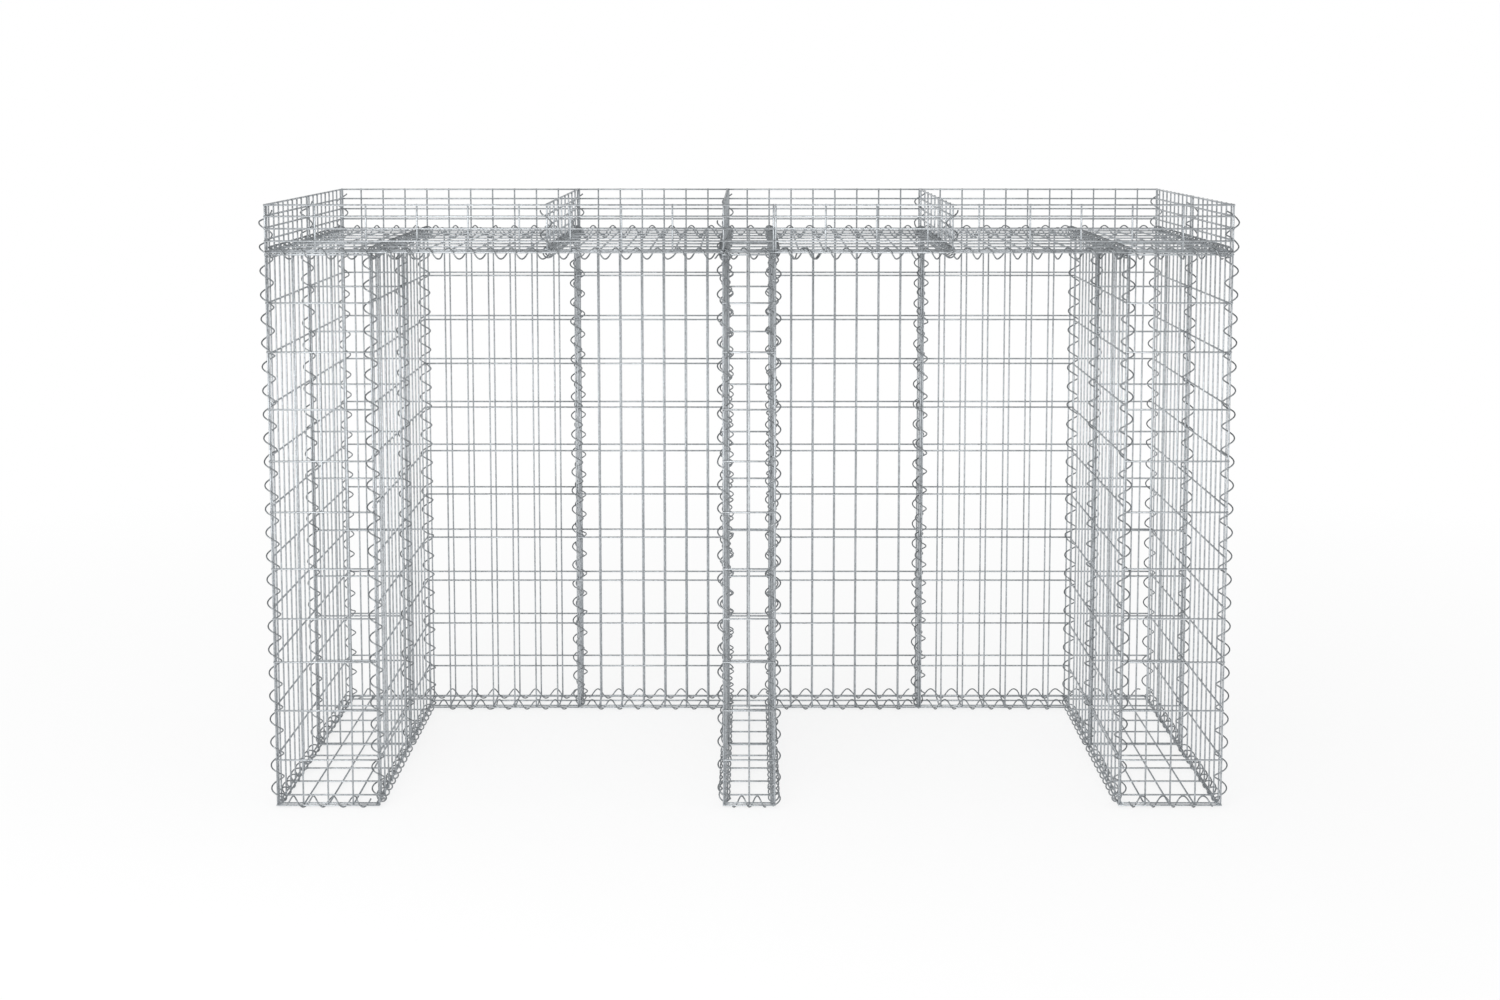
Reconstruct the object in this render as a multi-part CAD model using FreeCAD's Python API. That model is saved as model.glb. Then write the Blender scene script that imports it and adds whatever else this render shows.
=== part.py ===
import FreeCAD, Part
import os
from FreeCAD import Vector

# Gabion bin store: welded mesh walls for stone fill round two bin bays, with a mesh
# cover and a shallow tray on top. Millimetres, +Z up, front towards -Y, the origin on
# the ground at the middle of the plan.

# Driving dimensions of the store
WIDTH = 1900.0  # over the outer side panels
DEPTH = 910.0  # over the front and rear panels
HEIGHT = 1212.0  # ground to the top of the tray
SIDE_WALL = 205.0  # outer face to the middle of the inner panel
CENTRE_WALL = 100.0  # middle to middle of its two panels
BACK_WALL = 110.0  # rear face to the middle of the inner back panel
CROSS_DEPTH = 445.0  # front face to the cross partitions in the walls
TRAY_DEPTH = 94.0  # height of the tray above the cover

# Wire mesh
WIRE = 3.1  # side of a square wire with the area of a 3.5 mm round one
STUB = 0.5  # overhang of each wire past the last one that it crosses
SEAT = 0.3  # gap between neighbouring panels, taken up by the spirals
MESH = 50.0  # pitch of the line wires
REAR_MESH = 51.0  # pitch of the line wires in the rear panels
ROW = 101.0  # pitch of the cross wires up the side and back panels
TRAY_MESH = 100.0  # pitch of the upright wires in the tray
TRAY_ROWS = 4  # spaces between the wires up the height of the tray
SIDE_FIRST = 25.0  # front edge to the first line wire of a side panel
FLOOR_FIRST = 60.0  # front edge to the first cross wire of a wall floor
FLOOR_ROW = 100.0  # pitch of the cross wires in the wall floors
COVER_FIRST = 45.0  # front edge to the first cross wire of a cover panel
COVER_ROW = 105.0  # pitch of the cross wires in the cover
TRAY_FIRST = 70.0  # front edge to the first upright wire of a tray partition
END_SPACE = 30.0  # least space from the last of these wires to the rear edge

# Heights of the cross wires of the front panels above the lowest one, unevenly woven
FRONT_ROWS = (95.0, 196.0, 295.0, 383.0, 484.0, 598.0, 700.0, 803.0, 917.0, 1014.0)

# Lacing spirals, drawn as a flat-sided helix of four straight runs a turn
POST_OUTSIDE = 28.0  # outside size of the spirals up the corners
BASE_OUTSIDE = 25.0  # outside size of the spirals along the ground
REAR_LEAD = 6.0  # shift of the rear ones along +X, which clears the floor wires
SPIRAL_WIDTH = 4.0  # wire along the axis, three-sided with the area of a 3 mm round one
SPIRAL_DEPTH = 3.5  # wire from the outer flat to the inner edge

# Derived planes
PANEL = 2 * WIRE
LEFT = -WIDTH / 2
RIGHT = WIDTH / 2
FRONT = -DEPTH / 2
REAR = DEPTH / 2
BASE = SPIRAL_DEPTH + SEAT
COVER = HEIGHT - TRAY_DEPTH
CROSS = FRONT + CROSS_DEPTH
BACK = REAR - BACK_WALL
IN_LEFT = LEFT + SIDE_WALL
IN_RIGHT = RIGHT - SIDE_WALL
MID_LEFT = -CENTRE_WALL / 2
MID_RIGHT = CENTRE_WALL / 2
SEAM_LEFT = (IN_LEFT + MID_LEFT) / 2
SEAM_RIGHT = (MID_RIGHT + IN_RIGHT) / 2

# Inside faces of the outer skin, where the inner pieces stop
IN_FRONT = FRONT + PANEL + SEAT
IN_REAR = REAR - PANEL - SEAT
FLOOR_TOP = BASE + PANEL + SEAT
COVER_LOW = COVER - WIRE
UNDER_COVER = COVER_LOW - SEAT

AXES = {"X": Vector(1, 0, 0), "Y": Vector(0, 1, 0), "Z": Vector(0, 0, 1)}


def centred(length, pitch):
    """Places of the inner wires, evenly pitched about the middle of a panel."""
    count = round(length / pitch) - 1
    first = (length - (count - 1) * pitch) / 2
    return [first + k * pitch for k in range(count)]


def stepped(length, first, pitch):
    """Places of the inner wires, pitched from one edge of a panel."""
    places = []
    place = first
    while place < length - END_SPACE:
        places.append(place)
        place += pitch
    return places


def evenly(length, pitch):
    """Places of the inner wires in equal spaces close to the pitch."""
    spaces = round(length / pitch)
    return [length * k / spaces for k in range(1, spaces)]


def low_rows(bottom):
    """Cross wires between a panel's lower edge and the cover, at the even pitch."""
    reach = COVER - bottom
    spaces = round(reach / ROW)
    return [reach * k / spaces for k in range(1, spaces)]


def full_rows(bottom):
    """The same, and then on at the cover and up the tray."""
    rise = TRAY_DEPTH / TRAY_ROWS
    return low_rows(bottom) + [COVER - bottom + rise * k for k in range(TRAY_ROWS)]


def wire(spots):
    """One straight wire as a square bar, from its lowest and highest corner on each axis."""
    low = Vector(spots["X"][0], spots["Y"][0], spots["Z"][0])
    high = Vector(spots["X"][1], spots["Y"][1], spots["Z"][1])
    size = high - low
    return Part.makeBox(size.x, size.y, size.z, low)


def ordered(places, length):
    """Middles of all wires across a panel: the two at its edges and the inner ones."""
    edge = STUB + WIRE / 2
    return [edge] + [p for p in places if edge < p < length - edge] + [length - edge]


def mesh_panel(axes, face, u_span, v_span, u_places, v_places):
    """A flat welded panel: bars along v stand at the u places in one layer, and bars
    along u lie at the v places in the layer in front of it. face is its lower face."""
    u_axis, v_axis, n_axis = axes
    half = WIRE / 2
    bars = []
    for place in ordered(u_places, u_span[1] - u_span[0]):
        middle = u_span[0] + place
        bars.append(wire({
            u_axis: (middle - half, middle + half),
            v_axis: v_span,
            n_axis: (face + WIRE, face + PANEL),
        }))
    for place in ordered(v_places, v_span[1] - v_span[0]):
        middle = v_span[0] + place
        bars.append(wire({
            u_axis: u_span,
            v_axis: (middle - half, middle + half),
            n_axis: (face, face + WIRE),
        }))
    return Part.makeCompound(bars)


def face_panel(face, x_span, z_span, columns, rows):
    """A panel that faces the front or the rear."""
    return mesh_panel("XZY", face, x_span, z_span, columns, rows)


def side_panel(face, y_span, z_span, columns, rows):
    """A panel that faces left or right."""
    return mesh_panel("YZX", face, y_span, z_span, columns, rows)


def flat_panel(face, x_span, y_span, columns, rows):
    """A floor or cover panel, with its cross wires on top."""
    return mesh_panel("YXZ", face, y_span, x_span, rows, columns)


def save(name, shape):
    """Write one sub-part to its STEP file."""
    shape.exportStep("parts/" + name + ".step")


def front_panels():
    """The narrow ends of the three walls that face the front."""
    height = (BASE, COVER_LOW)
    spans = {
        "left_front_panel": (LEFT, IN_LEFT + WIRE),
        "centre_front_panel": (MID_LEFT - WIRE, MID_RIGHT + WIRE),
        "right_front_panel": (IN_RIGHT - WIRE, RIGHT),
    }
    for name, span in spans.items():
        columns = centred(span[1] - span[0], MESH)
        save(name, face_panel(FRONT, span, height, columns, FRONT_ROWS))


def cross_partitions():
    """The partitions across the three walls, halfway back."""
    height = (FLOOR_TOP, UNDER_COVER)
    rows = [row - FLOOR_TOP + BASE for row in FRONT_ROWS]
    spans = {
        "left_partition": (LEFT + PANEL + SEAT, IN_LEFT - WIRE - SEAT),
        "centre_partition": (MID_LEFT + WIRE + SEAT, MID_RIGHT - WIRE - SEAT),
        "right_partition": (IN_RIGHT + WIRE + SEAT, RIGHT - PANEL - SEAT),
    }
    for name, span in spans.items():
        columns = centred(span[1] - span[0], MESH)
        save(name, face_panel(CROSS - WIRE, span, height, columns, rows))


def outer_side_panels():
    """The outer skin at each side, in a front and a rear half."""
    height = (BASE, HEIGHT)
    rows = full_rows(BASE)
    halves = {
        "front": (IN_FRONT, CROSS - SEAT / 2),
        "rear": (CROSS + SEAT / 2, IN_REAR),
    }
    faces = {"left": LEFT, "right": RIGHT - PANEL}
    for side, face in faces.items():
        for half, span in halves.items():
            columns = stepped(span[1] - span[0], SIDE_FIRST, MESH)
            panel = side_panel(face, span, height, columns, rows)
            save(side + "_outer_" + half + "_panel", panel)


def inner_side_panels():
    """The four bay sides, each in a front and a rear half."""
    height = (BASE, UNDER_COVER)
    rows = low_rows(BASE)
    halves = {
        "front": (IN_FRONT, CROSS - SEAT / 2),
        "rear": (CROSS + SEAT / 2, BACK - WIRE - SEAT),
    }
    middles = {
        "left_bay_left": IN_LEFT,
        "left_bay_right": MID_LEFT,
        "right_bay_left": MID_RIGHT,
        "right_bay_right": IN_RIGHT,
    }
    for side, middle in middles.items():
        for half, span in halves.items():
            columns = stepped(span[1] - span[0], SIDE_FIRST, MESH)
            panel = side_panel(middle - WIRE, span, height, columns, rows)
            save(side + "_" + half + "_panel", panel)


def back_seams():
    """Where the rear panels, the back floors and the dividers meet."""
    return [LEFT, SEAM_LEFT, MID_LEFT, SEAM_RIGHT, RIGHT]


def back_panels():
    """The inner and the rear face of the back wall."""
    low_height = (BASE, UNDER_COVER)
    inner_rows = low_rows(BASE)
    inner = [
        (IN_LEFT - WIRE, SEAM_LEFT - SEAT / 2),
        (SEAM_LEFT + SEAT / 2, MID_LEFT + WIRE),
        (MID_RIGHT - WIRE, SEAM_RIGHT - SEAT / 2),
        (SEAM_RIGHT + SEAT / 2, IN_RIGHT + WIRE),
    ]
    for number, span in enumerate(inner, 1):
        columns = centred(span[1] - span[0], MESH)
        panel = face_panel(BACK - WIRE, span, low_height, columns, inner_rows)
        save("back_inner_panel_" + str(number), panel)
    height = (BASE, HEIGHT)
    rows = full_rows(BASE)
    for number, span in enumerate(rear_spans(), 1):
        columns = centred(span[1] - span[0], REAR_MESH)
        panel = face_panel(REAR - PANEL, span, height, columns, rows)
        save("rear_panel_" + str(number), panel)


def rear_spans():
    """Width of each rear panel, with a seat between neighbours."""
    seams = back_seams()
    spans = []
    for low, high in zip(seams, seams[1:]):
        start = low if low == LEFT else low + SEAT / 2
        end = high if high == RIGHT else high - SEAT / 2
        spans.append((start, end))
    return spans


def back_dividers():
    """Short partitions across the back wall, one at each inner seam."""
    height = (FLOOR_TOP, UNDER_COVER)
    rows = low_rows(FLOOR_TOP)
    span = (BACK + WIRE + SEAT, IN_REAR)
    columns = centred(span[1] - span[0], MESH)
    for number, middle in enumerate(back_seams()[1:-1], 1):
        panel = side_panel(middle - WIRE, span, height, columns, rows)
        save("back_divider_" + str(number), panel)


def floors():
    """Wall floors: the two sides and the centre, then the back wall in four lengths."""
    spans = {
        "left_floor": (LEFT + PANEL + SEAT, IN_LEFT - WIRE - SEAT, IN_REAR),
        "centre_floor": (MID_LEFT + WIRE + SEAT, MID_RIGHT - WIRE - SEAT, BACK + WIRE),
        "right_floor": (IN_RIGHT + WIRE + SEAT, RIGHT - PANEL - SEAT, IN_REAR),
    }
    for name, (low, high, rear) in spans.items():
        columns = centred(high - low, MESH)
        rows = stepped(rear - IN_FRONT, FLOOR_FIRST, FLOOR_ROW)
        save(name, flat_panel(BASE, (low, high), (IN_FRONT, rear), columns, rows))
    edges = [IN_LEFT - WIRE, SEAM_LEFT, MID_LEFT, SEAM_RIGHT, IN_RIGHT + WIRE]
    y_span = (BACK + WIRE + SEAT, IN_REAR)
    rows = centred(y_span[1] - y_span[0], MESH)
    for number, (low, high) in enumerate(zip(edges, edges[1:]), 1):
        span = (low + SEAT / 2, high - SEAT / 2)
        columns = centred(span[1] - span[0], REAR_MESH)
        save("back_floor_" + str(number), flat_panel(BASE, span, y_span, columns, rows))


def covers():
    """The cover in seven lengths, each laced to the next over a wall line."""
    edges = [
        LEFT + PANEL + SEAT / 2, IN_LEFT, SEAM_LEFT, MID_LEFT,
        MID_RIGHT, SEAM_RIGHT, IN_RIGHT, RIGHT - PANEL - SEAT / 2,
    ]
    y_span = (IN_FRONT, IN_REAR)
    rows = stepped(y_span[1] - y_span[0], COVER_FIRST, COVER_ROW)
    for number, (low, high) in enumerate(zip(edges, edges[1:]), 1):
        span = (low + SEAT / 2, high - SEAT / 2)
        columns = centred(span[1] - span[0], MESH)
        save("cover_" + str(number), flat_panel(COVER_LOW, span, y_span, columns, rows))


def tray():
    """The front strips of the tray and its partitions, standing on the cover."""
    spans = [(LEFT, MID_RIGHT - SEAT / 2), (MID_RIGHT + SEAT / 2, RIGHT)]
    height = (COVER_LOW + SEAT, HEIGHT)
    for side, span in zip(("left", "right"), spans):
        columns = evenly(span[1] - span[0], TRAY_MESH)
        strip = face_panel(FRONT, span, height, columns, tray_rows())
        save("tray_front_strip_" + side, strip)
    stand = (COVER_LOW + PANEL + SEAT, HEIGHT)
    y_span = (IN_FRONT, IN_REAR)
    columns = stepped(y_span[1] - y_span[0], TRAY_FIRST, TRAY_MESH)
    rows = [(stand[1] - stand[0]) * k / TRAY_ROWS for k in range(1, TRAY_ROWS)]
    for number, middle in enumerate(back_seams()[1:-1], 1):
        panel = side_panel(middle - WIRE, y_span, stand, columns, rows)
        save("tray_partition_" + str(number), panel)


def helix(crossings, outside, hand):
    """A spiral along +X of its own frame. It passes the +Y side of its box at each
    crossing, and turns through +Z for hand +1 or through -Z for hand -1."""
    outer = outside / 2
    inner = outer - SPIRAL_DEPTH
    corners = [(1, 1), (-1, 1), (-1, -1), (1, -1)]
    sections = []
    for low, high in zip(crossings, crossings[1:]):
        for k, (y, z) in enumerate(corners):
            x = low + (high - low) * (2 * k + 1) / 8
            z = z * hand
            sections.append([
                Vector(x - SPIRAL_WIDTH / 2, outer * y, outer * z),
                Vector(x + SPIRAL_WIDTH / 2, outer * y, outer * z),
                Vector(x, inner * y, inner * z),
            ])
    facets = [sections[0], sections[-1]]
    for one, two in zip(sections, sections[1:]):
        for k in range(3):
            after = (k + 1) % 3
            facets.append([one[k], one[after], two[after]])
            facets.append([one[k], two[after], two[k]])
    faces = [Part.Face(Part.makePolygon(facet + facet[:1])) for facet in facets]
    shell = Part.Shell(faces)
    shell.sewShape()
    solid = Part.Solid(shell)
    if solid.Volume < 0:
        solid.reverse()
    return solid


def placed(shape, origin, along, across):
    """Move a spiral: its X runs along one direction and its Y across in another."""
    up = along.cross(across)
    turn = FreeCAD.Rotation(along, across, up, "XYZ")
    moved = shape.copy()
    moved.Placement = FreeCAD.Placement(origin, turn)
    return moved


def post_crossings(rows):
    """Heights where a corner spiral passes its panel: twice in each space, once of
    those close under the cross wire that it hangs from."""
    side = POST_OUTSIDE - SPIRAL_DEPTH
    widest = max(high - low for low, high in zip(rows, rows[1:]))
    climb = (PANEL + SEAT / 2) / (4 * side)
    level_hug = (WIRE + SPIRAL_WIDTH) / 2 + SEAT
    hug = (level_hug + climb * widest / 2) / (1 - climb)
    crossings = [rows[0] + hug]
    for low, high in zip(rows, rows[1:]):
        crossings += [(low + high) / 2, high - hug]
    return crossings


def tray_rows():
    """Inner cross wires of the tray front strips, above their lower edge."""
    rise = HEIGHT - COVER_LOW - SEAT
    return [rise * k / TRAY_ROWS for k in range(1, TRAY_ROWS)]


def tray_crossings():
    """Heights where an outer corner spiral passes the tray strip, above every other
    cross wire by a quarter of a space, which clears the wires of the side panel too."""
    lower = COVER_LOW + SEAT
    lift = (HEIGHT - lower) / TRAY_ROWS / 4
    return [lower + level + lift for level in tray_rows()[::2]]


def corner_spirals():
    """The spirals up the six front corners of the walls. Each passes its front panel on
    the side that the last value names, and the outer two go on up the tray."""
    levels = ordered(FRONT_ROWS, COVER_LOW - BASE)
    under_cover = post_crossings([BASE + level for level in levels])
    tall = under_cover + tray_crossings()
    corners = [
        (LEFT + WIRE, tall, 1),
        (IN_LEFT, under_cover, -1),
        (MID_LEFT, under_cover, 1),
        (MID_RIGHT, under_cover, -1),
        (IN_RIGHT, under_cover, 1),
        (RIGHT - WIRE, tall, -1),
    ]
    y = IN_FRONT - SEAT / 2
    for number, (x, crossings, side) in enumerate(corners, 1):
        spiral = helix(crossings, POST_OUTSIDE, -side)
        across = Vector(side, 0, 0)
        spiral = placed(spiral, Vector(x, y, 0), AXES["Z"], across)
        save("corner_spiral_" + str(number), spiral)


def gap_middles(span, pitch):
    """Middles of the spaces between the upright wires of a panel."""
    length = span[1] - span[0]
    places = ordered(centred(length, pitch), length)
    return [span[0] + (a + b) / 2 for a, b in zip(places, places[1:])]


def base_spirals():
    """The spirals along the ground, under the front and the rear panels."""
    radius = BASE_OUTSIDE / 2
    reach = POST_OUTSIDE / 2 - PANEL - SEAT / 2 - radius
    fronts = [
        (LEFT, IN_LEFT + WIRE),
        (MID_LEFT - WIRE, MID_RIGHT + WIRE),
        (IN_RIGHT - WIRE, RIGHT),
    ]
    lines = {
        "front_base_spirals": (fronts, MESH, Vector(0, FRONT - reach, radius), 1),
        "rear_base_spirals": (
            rear_spans(), REAR_MESH, Vector(REAR_LEAD, REAR + reach, radius), -1,
        ),
    }
    for name, (spans, pitch, origin, hand) in lines.items():
        group = []
        for span in spans:
            spiral = helix(gap_middles(span, pitch), BASE_OUTSIDE, hand)
            group.append(placed(spiral, origin, AXES["X"], AXES["Z"]))
        save(name, Part.makeCompound(group))


os.makedirs("parts", exist_ok=True)
front_panels()
cross_partitions()
outer_side_panels()
inner_side_panels()
back_panels()
back_dividers()
floors()
covers()
tray()
corner_spirals()
base_spirals()
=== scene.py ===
import math
import bpy
import numpy as np
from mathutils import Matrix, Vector


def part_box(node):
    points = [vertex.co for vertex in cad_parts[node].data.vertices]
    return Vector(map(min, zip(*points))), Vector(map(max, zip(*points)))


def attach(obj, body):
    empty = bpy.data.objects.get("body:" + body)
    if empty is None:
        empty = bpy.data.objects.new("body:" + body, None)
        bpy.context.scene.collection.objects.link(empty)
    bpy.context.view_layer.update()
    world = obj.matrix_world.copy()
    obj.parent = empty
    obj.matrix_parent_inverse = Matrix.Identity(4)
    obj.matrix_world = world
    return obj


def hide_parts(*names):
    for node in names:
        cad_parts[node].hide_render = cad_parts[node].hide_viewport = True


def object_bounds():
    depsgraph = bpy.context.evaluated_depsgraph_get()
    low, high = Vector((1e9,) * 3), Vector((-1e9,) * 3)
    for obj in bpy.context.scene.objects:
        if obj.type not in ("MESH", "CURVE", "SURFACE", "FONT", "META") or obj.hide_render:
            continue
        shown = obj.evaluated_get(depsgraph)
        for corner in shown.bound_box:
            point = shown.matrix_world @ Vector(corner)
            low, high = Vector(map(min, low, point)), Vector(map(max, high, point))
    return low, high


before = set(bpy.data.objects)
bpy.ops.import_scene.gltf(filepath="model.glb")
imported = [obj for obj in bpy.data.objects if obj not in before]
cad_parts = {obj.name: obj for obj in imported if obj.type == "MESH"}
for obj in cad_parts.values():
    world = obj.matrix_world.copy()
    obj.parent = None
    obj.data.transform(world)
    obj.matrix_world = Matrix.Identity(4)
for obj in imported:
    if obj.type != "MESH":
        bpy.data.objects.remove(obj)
CAD_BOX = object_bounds()


def middle(node):
    """Middle of a node's box."""
    low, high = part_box(node)
    return (low + high) / 2


# Lines of the plan in metres, from the frame's own nodes. The left side mirrors the right.
OUTER = middle("corner_spiral_6").x  # outer corner
INNER = middle("corner_spiral_5").x  # bay side of the side wall
SEAM = middle("back_divider_3").x  # joint of the rear panels behind the bay
MID = middle("corner_spiral_4").x  # bay side of the centre wall
FRONT = middle("corner_spiral_1").y
CROSS = middle("left_partition").y
BACK = middle("back_inner_panel_1").y
REAR = -FRONT
COVER = middle("cover_1").z
TOP = CAD_BOX[1].z

# Wires, spirals and welds in metres
TOUCH = 1e-5  # distance within which two points are one, and two wires touch
CHAMFER = 0.3  # share of a wire's radius that its ends lose
SPIRAL_WIRE = 0.0030  # thickness of the lacing wire
POST_OUTSIDE = 0.028  # outside of the spirals up the corners
SEAM_OUTSIDE = 0.025  # outside of the spirals along the ground, the cover and the tray
CLEARANCE = 0.0046  # least distance between the middles of a spiral and a wire it passes
BEAD_WIDTH = 0.0022  # half width of a weld across the wires
BEAD_HEIGHT = 0.0017  # and half its height through them
BEAD_RINGS = ((-1.0, 0.35), (-0.45, 0.9), (0.45, 0.9), (1.0, 0.35))  # shares of the two

# Mesh fineness
WIRE_SIDES = 10
SPIRAL_SIDES = 8
TURN_STEPS = 20
BEAD_SIDES = 8
SHARP = 50  # angle in degrees from which an edge is drawn sharp

# Shift of a spiral's turns past the wires
EASE_PASSES = 8
EASE_REACH = TURN_STEPS // 5  # steps on each side that share in a shift
HALF_STEP = math.pi / TURN_STEPS * 1.01  # half the angle of a step, and a little more

# Pitch of the upright spirals, and the height of a turn that stands out to its side
OUTER_POST = (0.0473, 0.0416)  # up the outer corners, and the left of the centre wall
BAY_POST = (0.0440, 0.0187)  # up the other corners of the bays
BACK_POST = (0.0437, 0.0163)  # at the inner back panels
REAR_POST = (0.0474, 0.0193)  # at the rear panels

# Pitch of the spirals across, and the X where a turn is at its lowest
LEFT_FOOT = (0.0403, -0.935)  # ground seam in front of the left wall
CENTRE_FOOT = (0.0312, 0.002)  # of the centre wall
RIGHT_FOOT = (0.0403, 0.935)  # and of the right wall
LEFT_EDGE = (0.0409, -0.942)  # front edge of the cover over the left wall
LEFT_BAY_EDGE = (0.0409, -0.936)  # over the left bay
CENTRE_EDGE = (0.0395, 0.0096)  # over the centre wall
RIGHT_BAY_EDGE = (0.0395, 0.0921)  # over the right bay
RIGHT_EDGE = (0.0401, 0.9277)  # and over the right wall

# The same, and the X where a turn is at its top
REAR_FOOT = (0.0495, -0.705)  # ground seam under the rear panels
BACK_FOOT = (0.0434, -0.713)  # and under the inner back panels
REAR_EDGE = (0.0458, -0.913)  # rear edge of the cover

# Pitch of the spirals whose turns are counted from one end
BACK_EDGE_PITCH = 0.0437  # seams of the cover over the inner back panels
SEAM_PITCH = 0.047  # seams that run from front to rear
BAY_SEAM_PITCH = 0.042  # and those of them beside the bays

# Ends of the spirals
POST_LOW = 0.006  # height where the upright ones start
POST_TOP = TOP - 0.013  # where those that go up the tray end
UNDER_COVER = COVER - 0.008  # where those that stop at the cover end
CENTRE_SHORT = 0.020  # what the one up the left of the centre wall lacks at the top
COVER_LEVEL = COVER - 0.003  # height of the middle of the cover's spirals
ROOM = POST_OUTSIDE / 2 + SPIRAL_WIRE  # space left for an upright one where others end
LAP = 0.09  # what the cover's front spirals over the walls lap those over the bays

# Zinc: its darkest and its lightest tone, and how rough it is. Panels and spirals are one
# zinc, and their tones differ only by painted light and painted shade
# painted light: the panels' zinc is set lighter to light the walls
LIT_PANEL_ZINC = ((0.352, 0.372, 0.388), (0.582, 0.613, 0.638), 0.42)
# painted shade: the spirals' zinc is set darker to shade the dense seams and the cover
SHADED_SPIRAL_ZINC = ((0.209, 0.221, 0.231), (0.400, 0.422, 0.439), 0.40)

# Stage and light
WHITE = (1, 1, 1, 1)
FLOOR_TONE = (0.93, 0.93, 0.93, 1)
FLOOR_REACH = 40.0  # half the length of the floor
SOFT_LIGHT = 0.85  # strength of the light from all round
LAMP_AT = (-2.0, -5.0, 1.8)
LAMP_AIM = (0, 0, 0.6)
LAMP_SIZE = 2.5
LAMP_POWER = 150.0

# Camera, in the photograph's frame of 1500 by 1000
CAMERA_AT = (0.0017, -5.1814, 1.4005)
CAMERA_TILT = 6.451
CAMERA_LENS = 57.97
CAMERA_SHIFT = -0.08
SENSOR = 36.0


class Build:
    """Gathers closed shapes into one mesh."""

    def __init__(self):
        self.points = []
        self.faces = []
        self.count = 0

    def add(self, points, faces):
        self.points.append(np.asarray(points, float))
        self.faces += [tuple(self.count + i for i in face) for face in faces]
        self.count += len(points)

    def piece(self, name, material, slot_name, *nodes):
        mesh = bpy.data.meshes.new(name)
        mesh.from_pydata(np.vstack(self.points).tolist(), [], self.faces)
        mesh.polygons.foreach_set("use_smooth", [True] * len(mesh.polygons))
        mesh.set_sharp_from_angle(angle=math.radians(SHARP))
        mesh.materials.append(material)
        item = bpy.data.objects.new(name, mesh)
        bpy.context.scene.collection.objects.link(item)
        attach(item, "root")
        if nodes:
            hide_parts(*nodes)


def other_axes(axis):
    """The two axes besides one, in order."""
    return [k for k in range(3) if k != axis]


def ring_faces(rings, sides):
    """Side faces between rings of points, and a cap at each end."""
    faces = []
    for ring in range(rings - 1):
        low = ring * sides
        for k in range(sides):
            after = (k + 1) % sides
            faces.append((low + k, low + after, low + sides + after, low + sides + k))
    last = (rings - 1) * sides
    faces.append(tuple(reversed(range(sides))))
    faces.append(tuple(last + k for k in range(sides)))
    return faces


def bars_of(node):
    """Lowest and highest corner of each wire in a node."""
    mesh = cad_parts[node].data
    spots = np.empty(len(mesh.vertices) * 3)
    mesh.vertices.foreach_get("co", spots)
    spots = spots.reshape(-1, 3)
    _, same = np.unique(np.round(spots / TOUCH).astype(int), axis=0, return_inverse=True)
    same = same.ravel()
    group = list(range(same.max() + 1))

    def lead(k):
        while group[k] != k:
            group[k] = group[group[k]]
            k = group[k]
        return k

    for face in mesh.polygons:
        first = lead(same[face.vertices[0]])
        for vertex in face.vertices[1:]:
            group[lead(same[vertex])] = first
    owners = np.array([lead(k) for k in same])
    bars = []
    for owner in np.unique(owners):
        own = spots[owners == owner]
        bars.append((own.min(0), own.max(0)))
    return bars


def turned(build, centre, axis, rings, sides):
    """A closed round shape about an axis. Each ring gives its place and its radius."""
    a, b = other_axes(axis)
    sign = -1 if axis == 1 else 1
    points = []
    for place, radius in rings:
        for k in range(sides):
            turn = sign * 2 * math.pi * k / sides
            point = [place, place, place]
            point[a] = centre[a] + radius * math.cos(turn)
            point[b] = centre[b] + radius * math.sin(turn)
            points.append(point)
    build.add(points, ring_faces(len(rings), sides))


def rod(build, low, high):
    """A round wire with the sectional area of the square bar in that box."""
    size = high - low
    along = int(size.argmax())
    a, b = other_axes(along)
    radius = min(size[a], size[b]) / math.sqrt(math.pi)
    chamfer = radius * CHAMFER
    rings = [
        (low[along], radius - chamfer), (low[along] + chamfer, radius),
        (high[along] - chamfer, radius), (high[along], radius - chamfer),
    ]
    turned(build, (low + high) / 2, along, rings, WIRE_SIDES)


def bead(build, centre, normal):
    """A small flattened weld between two crossing wires."""
    rings = [
        (centre[normal] + BEAD_HEIGHT * level, BEAD_WIDTH * wide)
        for level, wide in BEAD_RINGS
    ]
    turned(build, centre, normal, rings, BEAD_SIDES)


def crossings(bars):
    """Middle and normal axis of each place where two wires of a panel touch."""
    low = np.array([bar[0] for bar in bars])
    high = np.array([bar[1] for bar in bars])
    along = (high - low).argmax(1)
    found = []
    for i in range(len(bars)):
        for j in range(i + 1, len(bars)):
            if along[i] == along[j]:
                continue
            inner_low = np.maximum(low[i], low[j])
            inner_high = np.minimum(high[i], high[j])
            if (inner_high - inner_low < -TOUCH).any():
                continue
            normal = 3 - along[i] - along[j]
            found.append(((inner_low + inner_high) / 2, int(normal)))
    return found


def panel(node, material):
    """The welded wires of one panel."""
    build = Build()
    bars = bars_of(node)
    for low, high in bars:
        rod(build, low, high)
    for centre, normal in crossings(bars):
        bead(build, centre, normal)
    build.piece(node + "_wires", material, "panel_wire", node)
    return bars


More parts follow.
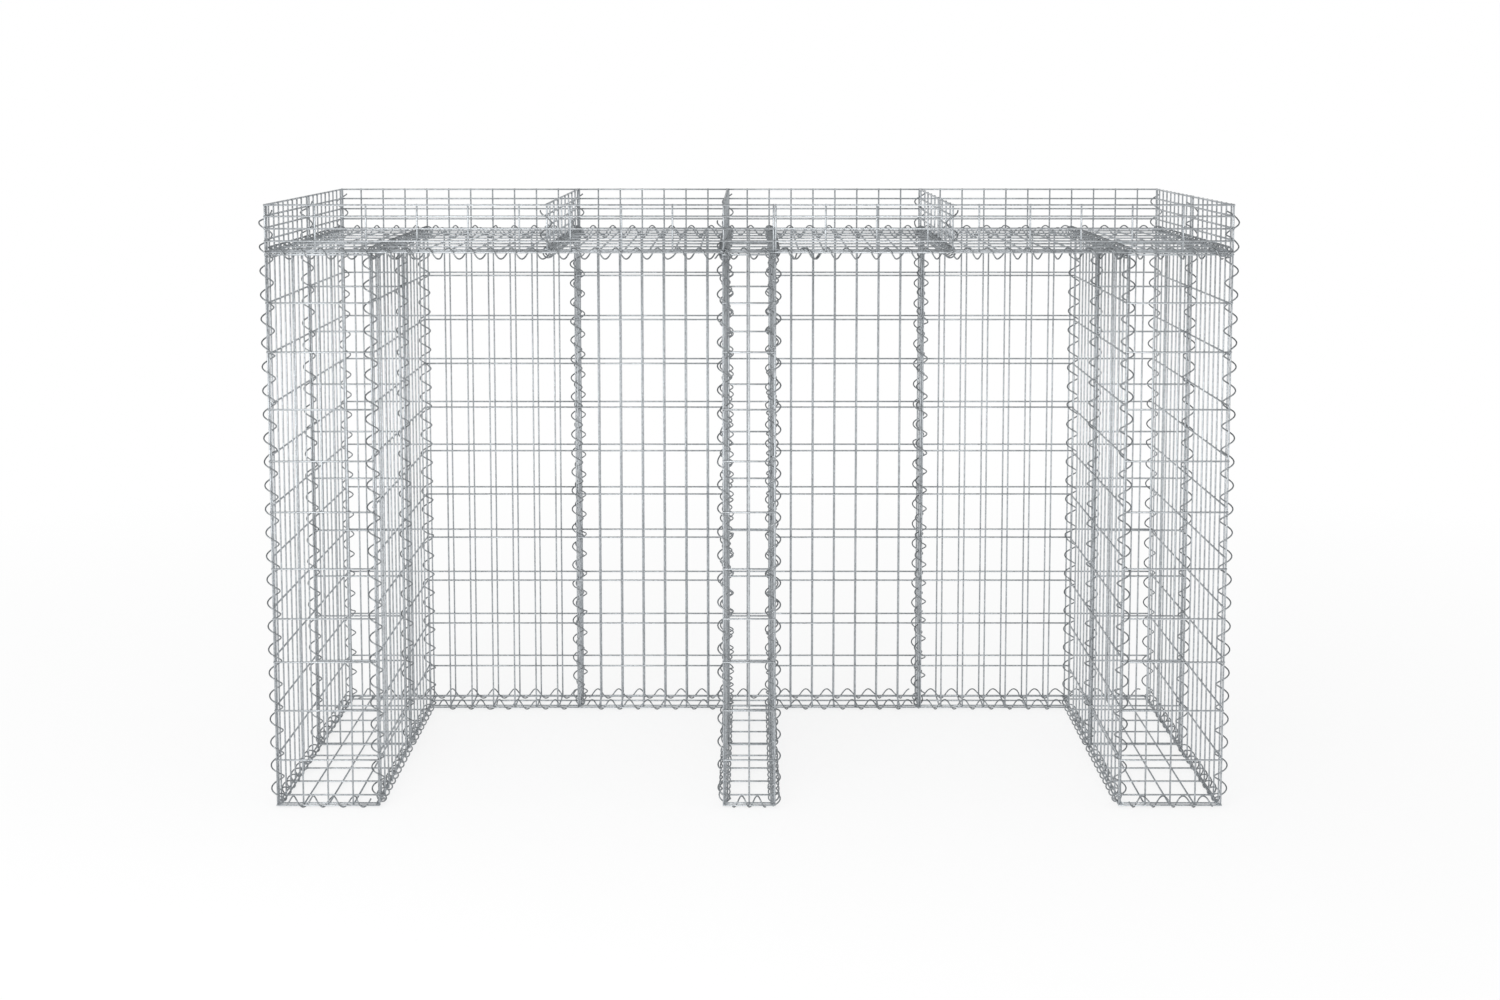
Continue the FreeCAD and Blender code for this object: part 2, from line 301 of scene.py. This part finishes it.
def blockers(bars, start, step, length, radius):
    """Where wires pass out through a spiral that runs along the axis named by step: the
    angle, from the spiral's first side axis, and the distance along it."""
    a, b = other_axes(step)
    found = []
    for low, high in bars:
        run = int((high - low).argmax())
        if run == step:
            continue
        other = 3 - run - step
        centre = (low + high) / 2
        offset = centre[other] - start[other]
        place = centre[step] - start[step]
        if abs(offset) > radius or not -radius < place < length + radius:
            continue
        reach = math.sqrt(radius ** 2 - offset ** 2)
        for end, sign in ((high[run] - start[run], 1), (start[run] - low[run], -1)):
            if end > reach:
                spot = [0.0, 0.0, 0.0]
                spot[run] = sign * reach
                spot[other] = offset
                found.append((math.atan2(spot[b], spot[a]), place))
    return found


def ease_past(places, angles, found):
    """Shift the turns of a spiral along it until each clears the wires it passes."""
    places = places.copy()
    bump = np.hanning(2 * EASE_REACH + 3)[1:-1]
    for _ in range(EASE_PASSES):
        for angle, place in found:
            miss = np.abs((angles - angle + math.pi) % (2 * math.pi) - math.pi)
            near = np.where(miss < HALF_STEP)[0]
            if not len(near):
                continue
            k = near[np.abs(places[near] - place).argmin()]
            gap = places[k] - place
            if abs(gap) >= CLEARANCE:
                continue
            push = (CLEARANCE - abs(gap)) * (1 if gap >= 0 else -1)
            for step, share in zip(range(k - EASE_REACH, k + EASE_REACH + 1), bump):
                if 0 <= step < len(places):
                    places[step] += push * share
    return np.maximum.accumulate(places)


def tube(build, path, radius):
    """A round wire along a path of points."""
    ahead = np.gradient(path, axis=0)
    ahead /= np.linalg.norm(ahead, axis=1)[:, None]
    askew = [0.3, 0.5, 0.8]  # no path starts along this
    side = np.cross(ahead[0], askew)
    points = []
    turn = 2 * math.pi * np.arange(SPIRAL_SIDES) / SPIRAL_SIDES
    for spot, way in zip(path, ahead):
        side = side - way * side.dot(way)
        side /= np.linalg.norm(side)
        up = np.cross(way, side)
        ring = np.outer(np.cos(turn), side) + np.outer(np.sin(turn), up)
        points.append(spot + radius * ring)
    build.add(np.vstack(points), ring_faces(len(path), SPIRAL_SIDES))


def wind(build, bars, run, outside):
    """One lacing spiral: a round wire wound along an axis."""
    start, end, hand, pitch, place, angle = run
    span = np.array(end) - np.array(start)
    step = int(np.abs(span).argmax())
    length = span[step]
    radius = (outside - SPIRAL_WIRE) / 2
    steps = math.ceil(length / pitch * TURN_STEPS)
    places = length * np.arange(steps + 1) / steps
    angles = angle + hand * 2 * math.pi * (start[step] + places - place) / pitch
    found = blockers(bars, np.array(start), step, length, radius)
    places = np.clip(ease_past(places, angles, found), 0, length)
    a, b = other_axes(step)
    path = np.zeros((steps + 1, 3))
    path[:, step] = start[step] + places
    path[:, a] = start[a] + radius * np.cos(angles)
    path[:, b] = start[b] + radius * np.sin(angles)
    tube(build, path, SPIRAL_WIRE / 2)


def spiral_piece(name, runs, bars, outside, material, *nodes):
    """One piece of several spirals of a kind. Each run gives the two ends, the way that
    it turns, 1 where the angle grows along it and -1 where it falls, the pitch, and a
    place along it with the angle at which the wire stands there."""
    build = Build()
    for run in runs:
        wind(build, bars, run, outside)
    build.piece(name, material, "spiral_wire", *nodes)


def hand_at(x):
    """The way that a spiral turns, which is mirrored between left and right."""
    return 1 if x > 0 else -1


def post(x, y, low, high, side, turns, hand):
    """An upright spiral that stands out to one side, -1 for -X and 1 for +X, at the
    height that comes with its pitch."""
    pitch, place = turns
    angle = 0.0 if side > 0 else math.pi
    return ((x, y, low), (x, y, high), hand, pitch, place, angle)


def across(low, high, y, z, turns, top=False):
    """A spiral from left to right, at its lowest or at its top in the place that comes
    with its pitch."""
    pitch, place = turns
    angle = math.pi / 2 if top else -math.pi / 2
    return ((low, y, z), (high, y, z), 1, pitch, place, angle)


def deep(x, near, far, z, pitch):
    """A spiral from front to rear, at its top in front."""
    return ((x, near, z), (x, far, z), hand_at(x), pitch, near, math.pi / 2)


def posts(bars, material):
    """The spirals up the corners, plane by plane from the front."""
    corners = [
        (-OUTER, POST_TOP, -1, OUTER_POST), (-INNER, UNDER_COVER, 1, BAY_POST),
        (-MID, POST_TOP - CENTRE_SHORT, -1, OUTER_POST), (MID, UNDER_COVER, 1, BAY_POST),
        (INNER, UNDER_COVER, -1, BAY_POST), (OUTER, POST_TOP, 1, OUTER_POST),
    ]
    for number, (x, high, side, turns) in enumerate(corners, 1):
        node = "corner_spiral_" + str(number)
        runs = [post(x, FRONT, POST_LOW, high, side, turns, hand_at(x))]
        spiral_piece(node + "_wire", runs, bars, POST_OUTSIDE, material, node)
    runs = []
    for x, high, side, turns in corners:
        high = high if abs(x) == OUTER else UNDER_COVER
        runs.append(post(x, CROSS, POST_LOW, high, side, turns, hand_at(x)))
    spiral_piece("cross_spirals", runs, bars, POST_OUTSIDE, material)
    runs = []
    for x in (-INNER, -SEAM, -MID, MID, SEAM, INNER):
        runs.append(post(x, BACK, POST_LOW, UNDER_COVER, -hand_at(x), BACK_POST, -1))
    spiral_piece("back_spirals", runs, bars, POST_OUTSIDE, material)
    runs = []
    for x in (-OUTER, -SEAM, -MID, SEAM, OUTER):
        runs.append(post(x, REAR, POST_LOW, POST_TOP, 1, REAR_POST, -1))
    spiral_piece("rear_spirals", runs, bars, POST_OUTSIDE, material)


def ground_seams(bars, material):
    """The spirals along the ground."""
    low = SEAM_OUTSIDE / 2
    near = FRONT - POST_OUTSIDE / 2 + low
    runs = [
        across(-OUTER + ROOM, -INNER - ROOM, near, low, LEFT_FOOT),
        across(-MID + ROOM, MID - ROOM, near, low, CENTRE_FOOT),
        across(INNER + ROOM, OUTER - ROOM, near, low, RIGHT_FOOT),
    ]
    spiral_piece(
        "front_base_spirals_wire", runs, bars, SEAM_OUTSIDE, material, "front_base_spirals",
    )
    edges = (-OUTER, -SEAM, -MID, SEAM, OUTER)
    runs = [
        across(left + ROOM, right - ROOM, -near, low, REAR_FOOT, top=True)
        for left, right in zip(edges, edges[1:])
    ]
    spiral_piece(
        "rear_base_spirals_wire", runs, bars, SEAM_OUTSIDE, material, "rear_base_spirals",
    )
    bays = ((-INNER, -SEAM), (-SEAM, -MID), (MID, SEAM), (SEAM, INNER))
    runs = [
        across(left + ROOM, right - ROOM, BACK, low, BACK_FOOT, top=True)
        for left, right in bays
    ]
    spiral_piece("inner_base_spirals", runs, bars, SEAM_OUTSIDE, material)
    runs = []
    for x in (-OUTER, OUTER):
        runs.append(deep(x, FRONT + ROOM, CROSS - ROOM, low, SEAM_PITCH))
        runs.append(deep(x, CROSS + ROOM, REAR - ROOM, low, SEAM_PITCH))
    for x in (-INNER, -MID, MID, INNER):
        runs.append(deep(x, FRONT + ROOM, CROSS - ROOM, low, BAY_SEAM_PITCH))
        runs.append(deep(x, CROSS + ROOM, BACK - ROOM, low, BAY_SEAM_PITCH))
    for x in (-SEAM, -MID, SEAM):
        runs.append(deep(x, BACK + ROOM, REAR - ROOM, low, SEAM_PITCH))
    spiral_piece("side_base_spirals", runs, bars, SEAM_OUTSIDE, material)


def cover_seams(bars, material):
    """The spirals along the edges and seams of the cover, and up the ends of the tray's
    partitions. Those over the side walls' fronts and, at its right, the centre wall's
    lap the long ones over the bays."""
    runs = [
        across(-OUTER + ROOM, -INNER + LAP, FRONT, COVER_LEVEL, LEFT_EDGE),
        across(-INNER + ROOM, -MID - ROOM, FRONT, COVER_LEVEL, LEFT_BAY_EDGE),
        across(-MID - ROOM, MID + LAP, FRONT, COVER_LEVEL, CENTRE_EDGE),
        across(MID + ROOM, INNER - ROOM, FRONT, COVER_LEVEL, RIGHT_BAY_EDGE),
        across(INNER - LAP, OUTER - ROOM, FRONT, COVER_LEVEL, RIGHT_EDGE),
    ]
    spiral_piece("cover_front_spirals", runs, bars, SEAM_OUTSIDE, material)
    runs = [across(-OUTER + ROOM, OUTER - ROOM, REAR, COVER_LEVEL, REAR_EDGE, top=True)]
    for left, right in ((-INNER, -MID), (MID, INNER)):
        turns = (BACK_EDGE_PITCH, left)
        runs.append(across(left + ROOM, right - ROOM, BACK, COVER_LEVEL, turns, top=True))
    spiral_piece("cover_rear_spirals", runs, bars, SEAM_OUTSIDE, material)
    runs = []
    for x in (-OUTER, -INNER, -SEAM, -MID, MID, SEAM, INNER, OUTER):
        pitch = BAY_SEAM_PITCH if abs(x) == INNER else SEAM_PITCH
        runs.append(deep(x, FRONT + ROOM, REAR - ROOM, COVER_LEVEL, pitch))
    spiral_piece("cover_spirals", runs, bars, SEAM_OUTSIDE, material)
    foot = COVER_LEVEL + SEAM_OUTSIDE / 2 + SPIRAL_WIRE
    turns = (OUTER_POST[0], POST_TOP)
    runs = [
        post(x, FRONT, foot, POST_TOP, hand_at(x), turns, hand_at(x)) for x in (-SEAM, SEAM)
    ]
    spiral_piece("tray_spirals", runs, bars, SEAM_OUTSIDE, material)


def add(nodes, kind, **values):
    """A new shader node with some of its inputs set, and _ for a space in their names."""
    node = nodes.new(kind)
    for key, value in values.items():
        node.inputs[key.replace("_", " ")].default_value = value
    return node


def galvanised(name, dark, light, rough):
    """Dull zinc: large patches of grey, a fine spangle and a slight dip texture."""
    material = bpy.data.materials.new(name)
    material.use_nodes = True
    nodes = material.node_tree.nodes
    link = material.node_tree.links.new
    shader = nodes["Principled BSDF"]
    shader.inputs["Metallic"].default_value = 0.75
    place = nodes.new("ShaderNodeTexCoord")
    patches = add(nodes, "ShaderNodeTexNoise", Scale=9.0, Detail=4.0)
    spangle = add(nodes, "ShaderNodeTexVoronoi", Scale=260.0)
    grain = add(nodes, "ShaderNodeTexNoise", Scale=900.0, Detail=3.0)
    for texture in (patches, spangle, grain):
        link(place.outputs["Object"], texture.inputs["Vector"])
    blend = nodes.new("ShaderNodeMix")
    blend.data_type = "FLOAT"
    factor, _, first, second = blend.inputs[:4]
    factor.default_value = 0.45
    link(patches.outputs["Fac"], first)
    link(spangle.outputs["Color"], second)
    ramp = nodes.new("ShaderNodeValToRGB")
    tones = ((0.30, dark), (0.72, light))
    for element, (position, tone) in zip(ramp.color_ramp.elements, tones):
        element.position = position
        element.color = (*tone, 1)
    link(blend.outputs[0], ramp.inputs["Fac"])
    link(ramp.outputs["Color"], shader.inputs["Base Color"])
    gloss = add(nodes, "ShaderNodeMapRange", To_Min=rough - 0.1, To_Max=rough + 0.12)
    link(blend.outputs[0], gloss.inputs["Value"])
    link(gloss.outputs["Result"], shader.inputs["Roughness"])
    bump = add(nodes, "ShaderNodeBump", Strength=0.25, Distance=0.0003)
    link(grain.outputs["Fac"], bump.inputs["Height"])
    link(bump.outputs["Normal"], shader.inputs["Normal"])
    return material


def plain_view(owner):
    """One for rays from the camera, reflected or let through, and nought for the rest."""
    nodes = owner.node_tree.nodes
    link = owner.node_tree.links.new
    rays = nodes.new("ShaderNodeLightPath")
    seen = rays.outputs["Is Camera Ray"]
    for kind in ("Is Glossy Ray", "Is Transmission Ray"):
        either = nodes.new("ShaderNodeMath")
        either.operation = "MAXIMUM"
        link(seen, either.inputs[0])
        link(rays.outputs[kind], either.inputs[1])
        seen = either.outputs[0]
    return seen


def white_stage():
    """A pale floor that takes the shadow near the store and fades to white far off."""
    material = bpy.data.materials.new("pale_floor")
    material.use_nodes = True
    nodes = material.node_tree.nodes
    link = material.node_tree.links.new
    nodes.clear()
    out = nodes.new("ShaderNodeOutputMaterial")
    matt = add(nodes, "ShaderNodeBsdfDiffuse", Color=FLOOR_TONE)
    glow = add(nodes, "ShaderNodeEmission", Color=WHITE)
    place = nodes.new("ShaderNodeTexCoord")
    length = nodes.new("ShaderNodeVectorMath")
    length.operation = "LENGTH"
    link(place.outputs["Object"], length.inputs[0])
    fade = add(
        nodes, "ShaderNodeMapRange", From_Min=1.2, From_Max=4.0, To_Min=0.78, To_Max=1.0,
    )
    link(length.outputs["Value"], fade.inputs["Value"])
    share = nodes.new("ShaderNodeMath")
    share.operation = "MULTIPLY"
    link(plain_view(material), share.inputs[0])
    link(fade.outputs["Result"], share.inputs[1])
    mix = nodes.new("ShaderNodeMixShader")
    link(share.outputs[0], mix.inputs["Fac"])
    link(matt.outputs[0], mix.inputs[1])
    link(glow.outputs[0], mix.inputs[2])
    link(mix.outputs[0], out.inputs["Surface"])
    mesh = bpy.data.meshes.new("floor")
    far = FLOOR_REACH
    corners = [(-far, -far, 0), (far, -far, 0), (far, far, 0), (-far, far, 0)]
    mesh.from_pydata(corners, [], [(0, 1, 2, 3)])
    mesh.materials.append(material)
    floor = bpy.data.objects.new("floor", mesh)
    bpy.context.scene.collection.objects.link(floor)


def studio():
    """Soft even light from all round, with one broad lamp in front. What is seen and what
    the zinc mirrors is white at eye level and darkens towards the ceiling."""
    world = bpy.data.worlds.new("studio")
    bpy.context.scene.world = world
    world.use_nodes = True
    nodes = world.node_tree.nodes
    link = world.node_tree.links.new
    sky = nodes["Background"]
    sky.inputs["Color"].default_value = WHITE
    place = nodes.new("ShaderNodeTexCoord")
    rise = nodes.new("ShaderNodeSeparateXYZ")
    link(place.outputs["Generated"], rise.inputs[0])
    ceiling = add(
        nodes, "ShaderNodeMapRange", From_Min=0.2, From_Max=0.9, To_Min=1.0, To_Max=0.0,
    )
    link(rise.outputs["Z"], ceiling.inputs["Value"])
    level = add(nodes, "ShaderNodeMapRange", To_Min=SOFT_LIGHT)
    link(plain_view(world), level.inputs["Value"])
    link(ceiling.outputs["Result"], level.inputs["To Max"])
    link(level.outputs["Result"], sky.inputs["Strength"])
    lamp = bpy.data.lights.new("key", "AREA")
    lamp.energy = LAMP_POWER
    lamp.size = LAMP_SIZE
    key = bpy.data.objects.new("key", lamp)
    key.location = LAMP_AT
    key.rotation_mode = "QUATERNION"
    aim = Vector(LAMP_AIM) - key.location
    key.rotation_quaternion = aim.to_track_quat("-Z", "Y")
    bpy.context.scene.collection.objects.link(key)


def camera():
    """The photograph's view, from in front and a little above."""
    lens = bpy.data.cameras.new("camera")
    lens.lens = CAMERA_LENS
    lens.sensor_width = SENSOR
    lens.shift_y = CAMERA_SHIFT
    eye = bpy.data.objects.new("camera", lens)
    eye.location = CAMERA_AT
    eye.rotation_euler = (math.radians(90 - CAMERA_TILT), 0, 0)
    bpy.context.scene.collection.objects.link(eye)
    bpy.context.scene.camera = eye


bpy.context.scene.view_settings.view_transform = "Standard"
camera()
white_stage()
studio()
# the panels' zinc, lightened with painted light
lit_panel_zinc = galvanised("lit_panel_zinc", *LIT_PANEL_ZINC)
# the spirals' zinc, darkened with painted shade
shaded_spiral_zinc = galvanised("shaded_spiral_zinc", *SHADED_SPIRAL_ZINC)
all_bars = []
for name in sorted(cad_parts):
    if "spiral" not in name:
        all_bars += panel(name, lit_panel_zinc)
posts(all_bars, shaded_spiral_zinc)
ground_seams(all_bars, shaded_spiral_zinc)
cover_seams(all_bars, shaded_spiral_zinc)
